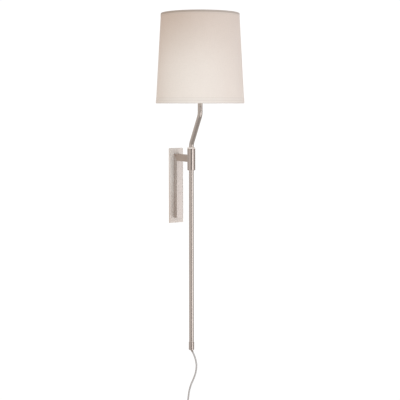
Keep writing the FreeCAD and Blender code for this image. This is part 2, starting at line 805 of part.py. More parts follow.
def cord_coil():
    """Bundle of seven turns, standing upright: a rounded rectangle turned about a level axis."""
    left, right = -COIL_MEAN_RADIUS - COIL_HALF_DEPTH, -COIL_MEAN_RADIUS + COIL_HALF_DEPTH
    back, front = COIL_Y + COIL_HALF_WIDTH, COIL_Y - COIL_HALF_WIDTH
    block = box(left, right, front, back, COIL_CENTRE_Z - 1, COIL_CENTRE_Z)
    block = block.makeFillet(2.4, [e for e in block.Edges if abs(e.tangentAt(0).z) > 0.9])
    section = max(block.Faces, key=lambda face: face.CenterOfMass.z)
    return section.revolve(Vector(0, COIL_Y, COIL_CENTRE_Z), Vector(0, 1, 0), 360)


def cord_tail():
    """End of the lead, from the coil down to the plug."""
    place = plug_place()
    tail = cylinder(CORD_RADIUS, place.z, COIL_CENTRE_Z - 12.0, place.x, place.y)
    return piece_nearest(tail.cut(cord_coil()), place)


def coil_tie():
    """Strap tie round the bundle."""
    x0, x1 = -COIL_MEAN_RADIUS - COIL_HALF_DEPTH - 0.05, -COIL_MEAN_RADIUS + COIL_HALF_DEPTH + 0.25
    y0, y1 = COIL_Y - COIL_HALF_WIDTH - 0.05, COIL_Y + COIL_HALF_WIDTH + 0.05
    z0, z1 = COIL_CENTRE_Z - 2.5, COIL_CENTRE_Z + 2.5
    strap = 1.2
    band = box(x0 - strap, x1 + strap, y0 - strap, y1 + strap, z0, z1)
    band = band.makeFillet(1.5, [e for e in band.Edges if abs(e.tangentAt(0).z) > 0.9])
    head = box(x0 - strap - 3.2, x0 - strap + 0.2, COIL_Y - 2.5, COIL_Y + 2.5, z0 - 0.4, z1 + 0.4)
    return band.fuse(head).cut(box(x0, x1, y0, y1, z0 - 1, z1 + 1)).removeSplitter()


def plug_place():
    """Point where the lead enters the plug."""
    return Vector(TAIL_X, POLE_Y, COIL_CENTRE_Z - PLUG_DROP)


def plug_body():
    """Moulded two-pin plug, tapered towards its lead."""
    place = plug_place()
    relief = turned([(0, 0), (3.5, 0), (5.0, -9.0), (0, -9.0)])
    body = Part.makeLoft([rectangle(14.0, 10.0, -9.0), rectangle(20.0, 13.0, -34.0)], True)
    body = body.makeFillet(1.6, [e for e in body.Edges if e.BoundBox.ZLength > 20])
    return relief.fuse(body).removeSplitter().translated(place)


def plug_blades():
    """Two flat blades."""
    place = plug_place()
    blades = []
    for side in (-1, 1):
        x = place.x + side * 6.35
        blade = box(x - 0.75, x + 0.75, place.y - 3.15, place.y + 3.15, place.z - 34.0 - 17.0, place.z - 34.0)
        hole = pin(1.5, Vector(x - 2, place.y, place.z - 46.5), Vector(x + 2, place.y, place.z - 46.5))
        blades.append(blade.cut(hole))
    return Part.makeCompound(blades)


NODES = {
    "wall_strap": wall_strap,
    "cover_screws": cover_screws,
    "wall_plate": wall_plate,
    "bracket_screws": bracket_screws,
    "post_nuts": post_nuts,
    "bracket_post": bracket_post,
    "bracket_arm": bracket_arm,
    "post_cap": post_cap,
    "sleeve": sleeve,
    "upper_bushing": lambda: bushing(1),
    "lower_bushing": lambda: bushing(-1),
    "friction_pad": friction_pad,
    "friction_screw": friction_screw,
    "pole": pole,
    "inner_lead": inner_lead,
    "end_cap": end_cap,
    "cord_bushing": cord_bushing,
    "pole_insert": pole_insert,
    "nipple": nipple,
    "seat_washer": seat_washer,
    "lock_nut": lock_nut,
    "socket_cap": socket_cap,
    "socket_shell": socket_shell,
    "socket_liner": socket_liner,
    "socket_body": socket_body,
    "terminal_screws": terminal_screws,
    "screw_shell": screw_shell,
    "centre_contact": centre_contact,
    "socket_collar": socket_collar,
    "shade_lock_ring": shade_lock_ring,
    "switch_shaft": switch_shaft,
    "switch_knob": switch_knob,
    "bulb_glass": bulb_glass,
    "bulb_base": bulb_base,
    "bulb_contact": bulb_contact,
    "shade_fabric": shade_fabric,
    "shade_liner": shade_liner,
    "shade_ring_bottom": shade_ring_bottom,
    "shade_ring_top": shade_ring_top,
    "shade_fitter": shade_fitter,
    "shade_trim_bottom": shade_trim_bottom,
    "shade_trim_top": shade_trim_top,
    "cord": cord,
    "cord_coil": cord_coil,
    "cord_tail": cord_tail,
    "coil_tie": coil_tie,
    "plug_body": plug_body,
    "plug_blades": plug_blades,
}

os.makedirs("parts", exist_ok=True)
for name, make in NODES.items():
    shape = make()
    if not shape.isValid() or shape.Volume <= 0:
        print("not a valid solid:", name)
    shape.exportStep(f"parts/{name}.step")
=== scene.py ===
"""Looks of the plug-in pharmacy wall lamp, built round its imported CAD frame.

Metres, +Z up, the wall at Y = 0.
"""

import math

import bmesh
import bpy
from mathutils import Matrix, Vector


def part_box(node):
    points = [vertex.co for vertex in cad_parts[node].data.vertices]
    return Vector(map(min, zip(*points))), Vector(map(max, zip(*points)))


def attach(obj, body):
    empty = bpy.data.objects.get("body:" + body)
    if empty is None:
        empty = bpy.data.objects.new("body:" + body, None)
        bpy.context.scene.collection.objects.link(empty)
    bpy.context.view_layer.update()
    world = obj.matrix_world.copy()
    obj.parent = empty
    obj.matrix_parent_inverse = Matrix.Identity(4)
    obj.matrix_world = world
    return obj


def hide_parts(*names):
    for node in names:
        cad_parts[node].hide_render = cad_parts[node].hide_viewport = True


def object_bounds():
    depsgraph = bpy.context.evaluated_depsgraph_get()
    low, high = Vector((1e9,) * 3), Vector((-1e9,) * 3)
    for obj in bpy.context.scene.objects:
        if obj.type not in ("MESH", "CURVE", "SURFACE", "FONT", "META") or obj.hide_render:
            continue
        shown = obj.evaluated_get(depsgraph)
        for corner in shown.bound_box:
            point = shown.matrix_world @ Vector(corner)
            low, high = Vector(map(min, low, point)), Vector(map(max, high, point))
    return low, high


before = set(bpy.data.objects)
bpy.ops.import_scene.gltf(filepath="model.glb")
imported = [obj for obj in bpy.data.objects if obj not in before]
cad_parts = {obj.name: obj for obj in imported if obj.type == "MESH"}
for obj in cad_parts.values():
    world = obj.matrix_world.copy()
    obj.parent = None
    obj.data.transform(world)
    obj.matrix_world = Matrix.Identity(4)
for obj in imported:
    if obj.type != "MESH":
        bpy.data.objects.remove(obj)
CAD_LOW, CAD_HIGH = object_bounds()


def centre_of(node):
    """Middle of a CAD node's box at rest."""
    low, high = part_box(node)
    return (Vector(low) + Vector(high)) / 2


MM = 0.001
POLE_AXIS = centre_of("sleeve").xy
STEM_AXIS = centre_of("bulb_base").xy
CORD_PLANE_Y = POLE_AXIS.y

# Camera: its azimuth and pitch, then its distance, side step, height and lens
CAMERA_AZIMUTH = math.radians(29.7)
CAMERA_PITCH = math.radians(6.16)
CAMERA_DISTANCE = 3.011
CAMERA_SIDE_STEP = 0.0288
CAMERA_HEIGHT = 0.2845
CAMERA_LENS = 81.9

# Free lead: its route from the ferrule to the coil, as (x, z) in the plane of the pole, then the coil. Shares
# and leads are parts of a turn, and the first lane's place is in lead diameters from the coil's middle.
CORD_DIAMETER = 0.006
CORD_ROUTE = [
    (0.0041, -0.5582),
    (0.0123, -0.5743),
    (0.0196, -0.6000),
    (0.0192, -0.6240),
    (0.0104, -0.6500),
    (-0.0032, -0.6730),
    (-0.0105, -0.6980),
    (-0.0132, -0.7240),
    (-0.0190, -0.7500),
    (-0.0285, -0.7730),
]
COIL_INNER_TURNS = 4
COIL_OUTER_TURNS = 3
COIL_POINTS_PER_TURN = 16
COIL_INNER_RADIUS = 0.0324
COIL_LAYER_STEP = 0.0052
COIL_CROSSING_LIFT = 0.0008
COIL_FIRST_LANE = -1.25
CROSSING_SHARE = 0.17
LAYER_CHANGE_LEAD = 0.35
LAYER_CHANGE_SHARE = 0.2
ENTRY_SHARE = 0.2
ENTRY_RISE = 0.006
EXIT_DROP = 0.004
CORD_IN_PLUG = 0.001

# Shade: its linen, the glued lap behind the lamp, and the edge tapes. The threads are counted at the weave
# radius, which is the shade's about half way up.
SHADE_LOW, SHADE_HIGH = (Vector(corner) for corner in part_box("shade_fabric"))
SHADE_HEIGHT = SHADE_HIGH.z - SHADE_LOW.z
SHADE_RADIUS_LOW = (SHADE_HIGH.x - SHADE_LOW.x) / 2
SHADE_RADIUS_HIGH = 0.1258
WEAVE_RADIUS = 0.134
SEAM_LAP = 0.014
SEAM_RAMP = 0.009
SEAM_STEP = 0.55 * MM
TAPE_HEIGHT_LOW = 17 * MM
TAPE_HEIGHT_HIGH = 10 * MM
HEM_FOLD_HEIGHT = 9.5 * MM
STEPS_AROUND = 288


# Camera


def make_camera():
    """Camera to the left of the lamp, a little above the bracket, looking slightly down."""
    ahead = Vector((math.sin(CAMERA_AZIMUTH), math.cos(CAMERA_AZIMUTH), 0))
    right = Vector((ahead.y, -ahead.x, 0))
    data = bpy.data.cameras.new("camera")
    data.lens = CAMERA_LENS
    data.sensor_width = 36.0
    data.clip_end = 50.0
    camera = bpy.data.objects.new("camera", data)
    camera.location = POLE_AXIS.to_3d() - ahead * CAMERA_DISTANCE + right * CAMERA_SIDE_STEP
    camera.location.z = CAMERA_HEIGHT
    look = ahead * math.cos(CAMERA_PITCH) - Vector((0, 0, math.sin(CAMERA_PITCH)))
    camera.rotation_euler = look.to_track_quat("-Z", "Y").to_euler()
    bpy.context.scene.collection.objects.link(camera)
    bpy.context.scene.camera = camera


make_camera()


# Lead


def smooth(x):
    """0 below 0, 1 above 1 and an S-curve between."""
    x = min(max(x, 0.0), 1.0)
    return x * x * (3 - 2 * x)


def coil_point(turn):
    """Place on the bundle after a number of turns, down from 9 o'clock and round by 6, 3 and 12 o'clock."""
    centre = centre_of("cord_coil")
    lanes = [centre.y + CORD_DIAMETER * (i + COIL_FIRST_LANE) for i in range(COIL_INNER_TURNS)]
    outer = [(lanes[i] + lanes[i + 1]) / 2 for i in reversed(range(COIL_OUTER_TURNS))]
    lanes += outer + [CORD_PLANE_Y]
    number = int(turn)
    crossing = smooth((turn - number - 1 + CROSSING_SHARE) / CROSSING_SHARE)
    y = lanes[number] + (lanes[min(number + 1, len(lanes) - 1)] - lanes[number]) * crossing
    y += (CORD_PLANE_Y - lanes[0]) * (1 - smooth(turn / ENTRY_SHARE))
    on_outer = turn - COIL_INNER_TURNS + LAYER_CHANGE_LEAD
    radius = COIL_INNER_RADIUS + COIL_LAYER_STEP * smooth(on_outer / LAYER_CHANGE_SHARE)
    if on_outer > 0:
        radius += COIL_CROSSING_LIFT * crossing
    radius /= math.cos(math.pi / COIL_POINTS_PER_TURN)
    angle = math.pi + 2 * math.pi * turn
    return Vector((centre.x + radius * math.cos(angle), y, centre.z + radius * math.sin(angle)))


def make_cord():
    """The lead from the strain relief through its put-away coil to the plug, as one smooth line."""
    points = [Vector((x, CORD_PLANE_Y, z)) for x, z in CORD_ROUTE]
    points.append(coil_point(0) + Vector((0, 0, ENTRY_RISE)))
    turns = COIL_INNER_TURNS + COIL_OUTER_TURNS
    for i in range(1, turns * COIL_POINTS_PER_TURN):
        points.append(coil_point(i / COIL_POINTS_PER_TURN))
    plug_x, plug_y = centre_of("plug_body").xy
    plug_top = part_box("plug_body")[1][2]
    coil_end = coil_point(turns - 1e-6).z
    for z in (coil_end - EXIT_DROP, (coil_end + plug_top) / 2, plug_top - CORD_IN_PLUG):
        points.append(Vector((plug_x, plug_y, z)))

    # Each point's radius sets the lead's thickness, because the bevel has a radius of 1.
    data = bpy.data.curves.new("lamp_cord", "CURVE")
    data.dimensions = "3D"
    data.bevel_depth = 1.0
    data.bevel_resolution = 5
    data.resolution_u = 5
    data.use_fill_caps = True
    spline = data.splines.new("NURBS")
    spline.points.add(len(points) - 1)
    for place, point in zip(spline.points, points):
        place.co = (*point, 1.0)
        place.radius = CORD_DIAMETER / 2
    spline.order_u = 3
    spline.use_endpoint_u = True
    cord = bpy.data.objects.new("lamp_cord", data)
    bpy.context.scene.collection.objects.link(cord)
    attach(cord, "pole")
    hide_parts("cord", "cord_coil", "cord_tail")
    return cord


cord = make_cord()


# Shade


def shade_radius(height):
    """Radius of the linen's outside at a height above the shade's lower edge."""
    return SHADE_RADIUS_LOW + (SHADE_RADIUS_HIGH - SHADE_RADIUS_LOW) * height / SHADE_HEIGHT


def around_shade(radius, turn, height):
    """Place on the shade; turn runs from 0 to 1, from the wall side by the right, the front and the left."""
    angle = math.pi / 2 - 2 * math.pi * turn
    x = STEM_AXIS.x + radius * math.cos(angle)
    y = STEM_AXIS.y + radius * math.sin(angle)
    return Vector((x, y, SHADE_LOW.z + height))


def seam_rise(distance):
    """How far the glued lap lifts what lies over it, at a distance round the shade from the lap's middle."""
    away = abs(distance) - SEAM_LAP / 2
    return SEAM_STEP * (1 - smooth(away / SEAM_RAMP))


def ripple(turn, height, size):
    """Slow uneven stretch of the cloth over its lining: waves round the shade, two of them slanting."""
    angle = 2 * math.pi * turn
    along = math.sin(7 * angle + 21 * height)
    along += 0.6 * math.sin(17 * angle - 34 * height)
    along += 0.4 * math.sin(31 * angle + 9)
    return size * along / 2


def link_piece(name, data, slot, *replaced):
    """Adds a smooth piece that rides on the pole and stands for the CAD nodes it replaces."""
    piece = bpy.data.objects.new(name, data)
    bpy.context.scene.collection.objects.link(piece)
    for face in data.polygons:
        face.use_smooth = True
    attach(piece, "pole")
    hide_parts(*replaced)
    return piece


def bridge(shape, first, second):
    """Faces between two closed rows of vertices."""
    for i in range(len(first)):
        j = (i + 1) % len(first)
        shape.faces.new((first[i], first[j], second[j], second[i]))


def make_linen():
    """The linen: one sheet glued round the lining, its folded end lapped on its start behind the lamp."""
    thickness = 0.45 * MM
    edge_margin = 0.4 * MM
    glue_gap = 0.1 * MM
    unevenness = 0.05 * MM
    fold_rise = 0.18 * MM
    fold_start, fold_ramp = 0.4 * SEAM_LAP, 0.1 * SEAM_LAP
    rows, lap_columns = 24, 8
    columns = STEPS_AROUND + lap_columns
    lap_turn = SEAM_LAP / (2 * math.pi * shade_radius(SHADE_HEIGHT / 2))
    shape = bmesh.new()
    loops = []
    for i in range(columns + 1):
        turn = -lap_turn / 2 + i / columns * (1 + lap_turn)
        outer, inner = [], []
        for j in range(rows + 1):
            height = edge_margin + (SHADE_HEIGHT - 2 * edge_margin) * j / rows
            radius = shade_radius(height)
            from_end = (1 + lap_turn / 2 - turn) * 2 * math.pi * radius
            lift = SEAM_STEP * (1 - smooth((from_end - SEAM_LAP) / SEAM_RAMP))
            radius += lift - glue_gap + ripple(turn, height, unevenness)
            fold = fold_rise * (1 - smooth((from_end - fold_start) / fold_ramp))
            outer.append(shape.verts.new(around_shade(radius + fold, turn, height)))
            inner.append(shape.verts.new(around_shade(radius - thickness, turn, height)))
        loops.append(outer + inner[::-1])
    for first, second in zip(loops, loops[1:]):
        bridge(shape, first, second)
    shape.faces.new(loops[0][::-1])
    shape.faces.new(loops[-1])
    bmesh.ops.recalc_face_normals(shape, faces=shape.faces)
    data = bpy.data.meshes.new("shade_linen")
    shape.to_mesh(data)
    shape.free()
    return link_piece("shade_linen", data, "white_linen", "shade_fabric")


def arc_points(x, z, radius, start, end, count=5):
    """Points on a round corner, in degrees."""
    angles = [math.radians(start + (end - start) * i / count) for i in range(count + 1)]
    return [(x + radius * math.cos(a), z + radius * math.sin(a)) for a in angles]


def tape_outline(height, hem_fold):
    """Section of an edge tape in millimetres: distance outside the linen, and height above the edge.

    It starts at the tape's outer edge, goes down and round the hoop, up inside it, and back along the inner
    skin.
    """
    thick = 0.34
    doubled = 0.52 if hem_fold else thick
    hoop_x, hoop_z, round_hoop, inner_skin = -3.3, 1.6, 2.1, 1.65
    outline = arc_points(0.15, height - 0.15, 0.18, 160, 20)
    outline += [(thick, height - 0.6), (thick - 0.03, height - 2.0)]
    if hem_fold:
        outline += [(thick, hem_fold + 1.0), (thick + 0.02, hem_fold + 0.25)]
        outline += arc_points(doubled - 0.16, hem_fold - 0.16, 0.16, 80, 0, 3)
        outline += [(doubled + 0.02, hem_fold / 2)]
    outline += [(doubled, 1.9)]
    outline += arc_points(doubled - 1.5, 1.0, 1.5, 0, -90)
    outline += arc_points(hoop_x, hoop_z, round_hoop, -90, -180)
    outline += arc_points(-5.2, 4.0, 0.2, 180, 0, 3)
    outline += arc_points(hoop_x, hoop_z, inner_skin, -180, -90)
    outline += [(-0.5, -0.05), (-0.05, 0.3), (-0.02, 2.0), (-0.02, height / 2)]
    return outline


def make_tape(name, edge, side, height, hem_fold=0.0):
    """Folded tape glued over an edge of the shade; side is 1 at the lower edge, whose tape runs upwards."""
    joint_half_width, joint_rise = 12 * MM, 0.12 * MM
    puckers, pucker_size = 74, 0.05 * MM
    pucker_drifts, pucker_drift = 5, 3
    outline = tape_outline(height / MM, hem_fold / MM)
    shape = bmesh.new()
    loops = []
    for i in range(STEPS_AROUND):
        turn = i / STEPS_AROUND
        loop = []
        for out, up in outline:
            level = edge + side * up * MM
            radius = shade_radius(level)
            distance = (turn if turn < 0.5 else turn - 1) * 2 * math.pi * radius
            outside = smooth(out + 1.2)
            joint = joint_rise if abs(distance) < joint_half_width else 0.0
            radius += out * MM + outside * (seam_rise(distance) + joint)
            pucker = smooth((up - 1.5) / 3.0) * outside * pucker_size
            drift = pucker_drift * math.sin(2 * math.pi * pucker_drifts * turn)
            radius += pucker * math.sin(2 * math.pi * puckers * turn + drift)
            loop.append(shape.verts.new(around_shade(radius, turn, level)))
        loops.append(loop)
    for first, second in zip(loops, loops[1:] + loops[:1]):
        bridge(shape, first, second)
    bmesh.ops.recalc_face_normals(shape, faces=shape.faces)
    data = bpy.data.meshes.new(name)
    shape.to_mesh(data)
    shape.free()
    replaced = "shade_trim_bottom" if side > 0 else "shade_trim_top"
    return link_piece(name, data, "white_tape", replaced)


# Plug


def squarish(half_x, half_y, angle, power):
    """Point on a rounded rectangle; with a power of 2 it is an ellipse."""
    across, along = math.cos(angle), math.sin(angle)
    size = (abs(across) ** power + abs(along) ** power) ** (-1 / power)
    return half_x * across * size, half_y * along * size


def plug_sections(length):
    """Half widths of the plug from its cord end down, in millimetres: (depth, half x, half y, squareness)."""
    circular, square = 2.0, 4.5
    sections = [(0.0, 3.0, 3.0, circular), (0.0, 3.6, 3.6, circular)]
    ribs, rib_pitch, rib_growth = 4, 2.0, 0.33
    for i in range(ribs):
        top = 0.6 + rib_pitch * i
        size = 3.7 + rib_growth * i
        for down, wider in ((0.0, 0.0), (0.15, 0.12), (1.1, 0.2), (1.25, -0.55), (1.85, -0.5)):
            sections.append((top + down, size + wider, size + wider, circular))
    sections += [(8.8, 4.9, 4.6, 2.4), (9.6, 6.4, 4.95, 3.5), (10.6, 7.1, 5.05, square)]
    shoulder_depth, body_length = 9.0, 25.0
    grips, grip_pitch = 4, 3.4
    for i in range(grips):
        depth = 14.0 + grip_pitch * i
        share = (depth - shoulder_depth) / body_length
        half_x, half_y = 7.0 + 3.0 * share, 5.0 + 1.5 * share
        for down, wider, thicker in ((0.0, 0.0, 0.0), (0.5, -0.75, -0.1), (1.4, -0.7, -0.1), (1.9, 0.2, 0.1)):
            sections.append((depth + down, half_x + wider, half_y + thicker, square))
    sections += [(30.0, 9.5, 6.25, square), (length - 0.8, 9.9, 6.45, square)]
    sections += [(length - 0.2, 9.7, 6.25, square), (length, 9.2, 5.8, square), (length, 6.0, 3.0, square)]
    return sections


def make_plug():
    """Moulded two-pin plug with a ribbed cord relief and finger grooves."""
    low, high = (Vector(corner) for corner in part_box("plug_body"))
    middle = (low + high) / 2
    around = 48
    shape = bmesh.new()
    loops = []
    for depth, half_x, half_y, power in plug_sections((high.z - low.z) / MM):
        loop = []
        for i in range(around):
            x, y = squarish(half_x * MM, half_y * MM, 2 * math.pi * i / around, power)
            loop.append(shape.verts.new((middle.x + x, middle.y + y, high.z - depth * MM)))
        loops.append(loop)
    for first, second in zip(loops, loops[1:]):
        bridge(shape, first, second)
    shape.faces.new(loops[0])
    shape.faces.new(loops[-1])
    bmesh.ops.recalc_face_normals(shape, faces=shape.faces)
    data = bpy.data.meshes.new("plug")
    shape.to_mesh(data)
    shape.free()
    piece = link_piece("plug", data, "grey_plastic", "plug_body")
    edges = piece.modifiers.new("edges", "BEVEL")
    edges.width = 0.12 * MM
    edges.segments = 2
    edges.angle_limit = math.radians(40)
    return piece


plug = make_plug()

linen_sheet = make_linen()
tape_low = make_tape("edge_tape_bottom", 0.0, 1, TAPE_HEIGHT_LOW, HEM_FOLD_HEIGHT)
tape_high = make_tape("edge_tape_top", SHADE_HEIGHT, -1, TAPE_HEIGHT_HIGH)


# Materials


class Finish:
    """One procedural material: its shader, with short calls that add and link nodes."""

    def __init__(self, name, **values):
        self.material = bpy.data.materials.new(name)
        self.material.use_nodes = True
        self.tree = self.material.node_tree
        self.shader = self.tree.nodes["Principled BSDF"]
        for socket, value in values.items():
            self.plug(self.shader.inputs[socket.replace("_", " ")], value)

    def plug(self, socket, value):
        """A socket is linked, and a number, colour or vector is set."""
        if isinstance(value, bpy.types.NodeSocket):
            self.tree.links.new(value, socket)
        elif isinstance(value, (tuple, list)) and socket.type == "RGBA":
            socket.default_value = (*value[:3], 1.0)
        else:
            socket.default_value = value

    def node(self, kind, inputs=(), output=0, **settings):
        """Adds a node and gives one of its outputs; inputs are (socket name or number, value) pairs."""
        made = self.tree.nodes.new("ShaderNode" + kind)
        for key, value in settings.items():
            setattr(made, key, value)
        for key, value in inputs:
            self.plug(made.inputs[key], value)
        return made.outputs[output]

    def math(self, operation, *values):
        """Result of one arithmetic step."""
        return self.node("Math", list(enumerate(values)), operation=operation)

    def where(self):
        """Place in the lamp's own frame, in metres."""
        return self.node("TexCoord", output="Object")

    def split(self, place):
        """The X, Y and Z outputs of a place."""
        return self.node("SeparateXYZ", [(0, place)]).node.outputs

    def stretched(self, place, x, y, z):
        """Place with its axes scaled, so that a texture is drawn out along the small ones."""
        return self.node("VectorMath", [(0, place), (1, (x, y, z))], operation="MULTIPLY")

    def noise(self, place, scale, detail=3.0, roughness=0.5):
        """Cloudy value of about 0.5; scale is how often it repeats in a metre."""
        inputs = [("Vector", place), ("Scale", scale), ("Detail", detail), ("Roughness", roughness)]
        return self.node("TexNoise", inputs)

    def ranged(self, value, low, high, start=0.0, end=1.0):
        """A 0-1 value, or the part from start to end of it, mapped to low-high."""
        inputs = [("Value", value), ("From Min", start), ("From Max", end), ("To Min", low), ("To Max", high)]
        return self.node("MapRange", inputs)

    def blend(self, factor, first, second):
        """Colour from the first, at a factor of 0, to the second, at 1; sockets 6 and 7 are the colours."""
        inputs = [("Factor", factor), (6, first), (7, second)]
        return self.node("Mix", inputs, output=2, data_type="RGBA")

    def bump(self, height, distance, strength=1.0, under=None):
        """Relief from a height value, up to distance metres high, laid over the relief given as under."""
        inputs = [("Height", height), ("Distance", distance), ("Strength", strength)]
        if under is not None:
            inputs.append(("Normal", under))
        return self.node("Bump", inputs)

    def use(self, **values):
        """Sets the shader's inputs and gives the finished material."""
        for socket, value in values.items():
            self.plug(self.shader.inputs[socket.replace("_", " ")], value)
        return self.material


def tone(color, factor):
    """The colour made lighter or darker."""
    return tuple(c * factor for c in color)


NICKEL = (0.64, 0.578, 0.540)


def brushed_metal(name, color, roughness, grain, slope=None, metallic=1.0):
    """Satin plated metal. grain gives the brush lines' frequencies along X, Y and Z, per metre.

    slope is (low z, high z, shift in Y), for a bar that leans between two heights and takes its lines along.
    """
    finish = Finish(name, Metallic=metallic)
    place = finish.where()
    if slope:
        low, high, shift = slope
        axes = finish.split(place)
        lean = finish.ranged(axes["Z"], 0.0, shift, start=low, end=high)
        straight = finish.math("SUBTRACT", axes["Y"], lean)
        place = finish.node("CombineXYZ", [("X", axes["X"]), ("Y", straight), ("Z", axes["Z"])])
    lines = finish.noise(finish.stretched(place, *grain), 1.0, detail=2.0)
    fine = finish.noise(finish.stretched(place, *(2.7 * g for g in grain)), 1.0, detail=2.0)
    clouds = finish.noise(place, 22.0, detail=3.0)
    handled = finish.noise(place, 70.0, detail=4.0, roughness=0.6)
    handled = finish.ranged(handled, 0.0, 1.0, start=0.55, end=0.75)
    shade = finish.blend(clouds, tone(color, 0.955), tone(color, 1.035))
    streak = finish.blend(finish.ranged(lines, 0.0, 0.35, start=0.35, end=0.75), shade, tone(color, 0.90))
    gloss = finish.ranged(lines, roughness - 0.03, roughness + 0.04, start=0.3, end=0.7)
    gloss = finish.math("ADD", gloss, finish.math("MULTIPLY", handled, 0.05))
    relief = finish.bump(lines, 0.000004, strength=0.6)
    relief = finish.bump(fine, 0.000002, strength=0.6, under=relief)
    return finish.use(Base_Color=streak, Roughness=gloss, Normal=relief)


def plated_steel():
    """Zinc-plated hidden steel, faintly blue and yellow."""
    finish = Finish("zinc_plate", Metallic=1.0)
    place = finish.where()
    patches = finish.noise(place, 120.0, detail=4.0, roughness=0.6)
    color = finish.blend(patches, (0.62, 0.63, 0.66), (0.72, 0.69, 0.60))
    grain = finish.noise(finish.stretched(place, 900.0, 900.0, 60.0), 1.0)
    relief = finish.bump(grain, 0.00005, strength=0.5)
    return finish.use(Base_Color=color, Roughness=finish.ranged(patches, 0.28, 0.45), Normal=relief)


def turned_brass():
    """Brass from a lathe, with fine rings and some tarnish."""
    finish = Finish("brass", Metallic=1.0)
    place = finish.where()
    rings = finish.noise(finish.stretched(place, 60.0, 60.0, 2600.0), 1.0)
    tarnish = finish.noise(place, 90.0, detail=4.0, roughness=0.6)
    dark = finish.ranged(tarnish, 0.0, 1.0, start=0.4, end=0.7)
    color = finish.blend(dark, (0.80, 0.60, 0.28), (0.56, 0.38, 0.16))
    relief = finish.bump(rings, 0.00004, strength=0.7)
    return finish.use(Base_Color=color, Roughness=finish.ranged(tarnish, 0.22, 0.42), Normal=relief)


def thin_aluminium():
    """Rolled cap of the bulb."""
    finish = Finish("cap_aluminium", Metallic=1.0)
    place = finish.where()
    dull = finish.noise(place, 160.0, detail=4.0, roughness=0.6)
    color = finish.blend(dull, (0.78, 0.78, 0.79), (0.90, 0.90, 0.90))
    relief = finish.bump(finish.noise(place, 1800.0, detail=2.0), 0.00003, strength=0.6)
    return finish.use(Base_Color=color, Roughness=finish.ranged(dull, 0.25, 0.40), Normal=relief)


def moulded(name, color, roughness, speckle=1500.0, coat=0.0):
    """Moulded plastic with a fine spark-eroded skin and slight shade changes."""
    finish = Finish(name, Coat_Weight=coat, Coat_Roughness=0.15)
    place = finish.where()
    patches = finish.noise(place, 45.0, detail=4.0)
    worn = finish.noise(place, 260.0, detail=5.0, roughness=0.65)
    shade = finish.blend(patches, tone(color, 0.9), tone(color, 1.08))
    skin = finish.noise(place, speckle, detail=2.0)
    relief = finish.bump(skin, 0.00005, strength=0.55)
    relief = finish.bump(worn, 0.0001, strength=0.12, under=relief)
    gloss = finish.ranged(worn, roughness - 0.06, roughness + 0.1)
    return finish.use(Base_Color=shade, Roughness=gloss, Normal=relief)


def powder_coat():
    """White powder coat with a slight orange peel."""
    finish = Finish("white_powder_coat")
    place = finish.where()
    peel = finish.noise(place, 900.0, detail=3.0)
    shade = finish.blend(finish.noise(place, 60.0), (0.80, 0.79, 0.76), (0.88, 0.87, 0.85))
    return finish.use(Base_Color=shade, Roughness=0.42, Normal=finish.bump(peel, 0.00012, strength=0.5))


def waxed_fibre():
    """Brown card that lines the lamp holder."""
    finish = Finish("insulating_fibre")
    place = finish.where()
    fibres = finish.noise(finish.stretched(place, 700.0, 700.0, 160.0), 1.0, detail=5.0, roughness=0.7)
    shade = finish.blend(fibres, (0.36, 0.25, 0.15), (0.52, 0.39, 0.26))
    return finish.use(Base_Color=shade, Roughness=0.6, Normal=finish.bump(fibres, 0.0002, strength=0.6))


def frosted_glass():
    """Bulb glass, white inside; light softens in it."""
    finish = Finish("frosted_bulb", Subsurface_Weight=0.25, Subsurface_Scale=0.004, Coat_Weight=0.4)
    place = finish.where()
    cloud = finish.noise(place, 40.0, detail=3.0)
    shade = finish.blend(cloud, (0.86, 0.85, 0.82), (0.92, 0.91, 0.89))
    powder = finish.bump(finish.noise(place, 2400.0, detail=2.0), 0.00002, strength=0.5)
    return finish.use(Base_Color=shade, Roughness=finish.ranged(cloud, 0.30, 0.42), Normal=powder)


def around_stem(finish, place, radius):
    """Distance round the shade and height, in metres, as two outputs."""
    axes = finish.split(place)
    x = finish.math("SUBTRACT", axes["X"], STEM_AXIS.x)
    y = finish.math("SUBTRACT", axes["Y"], STEM_AXIS.y)
    angle = finish.math("ARCTAN2", x, finish.math("MULTIPLY", y, -1.0))
    return finish.math("MULTIPLY", angle, radius), axes["Z"]


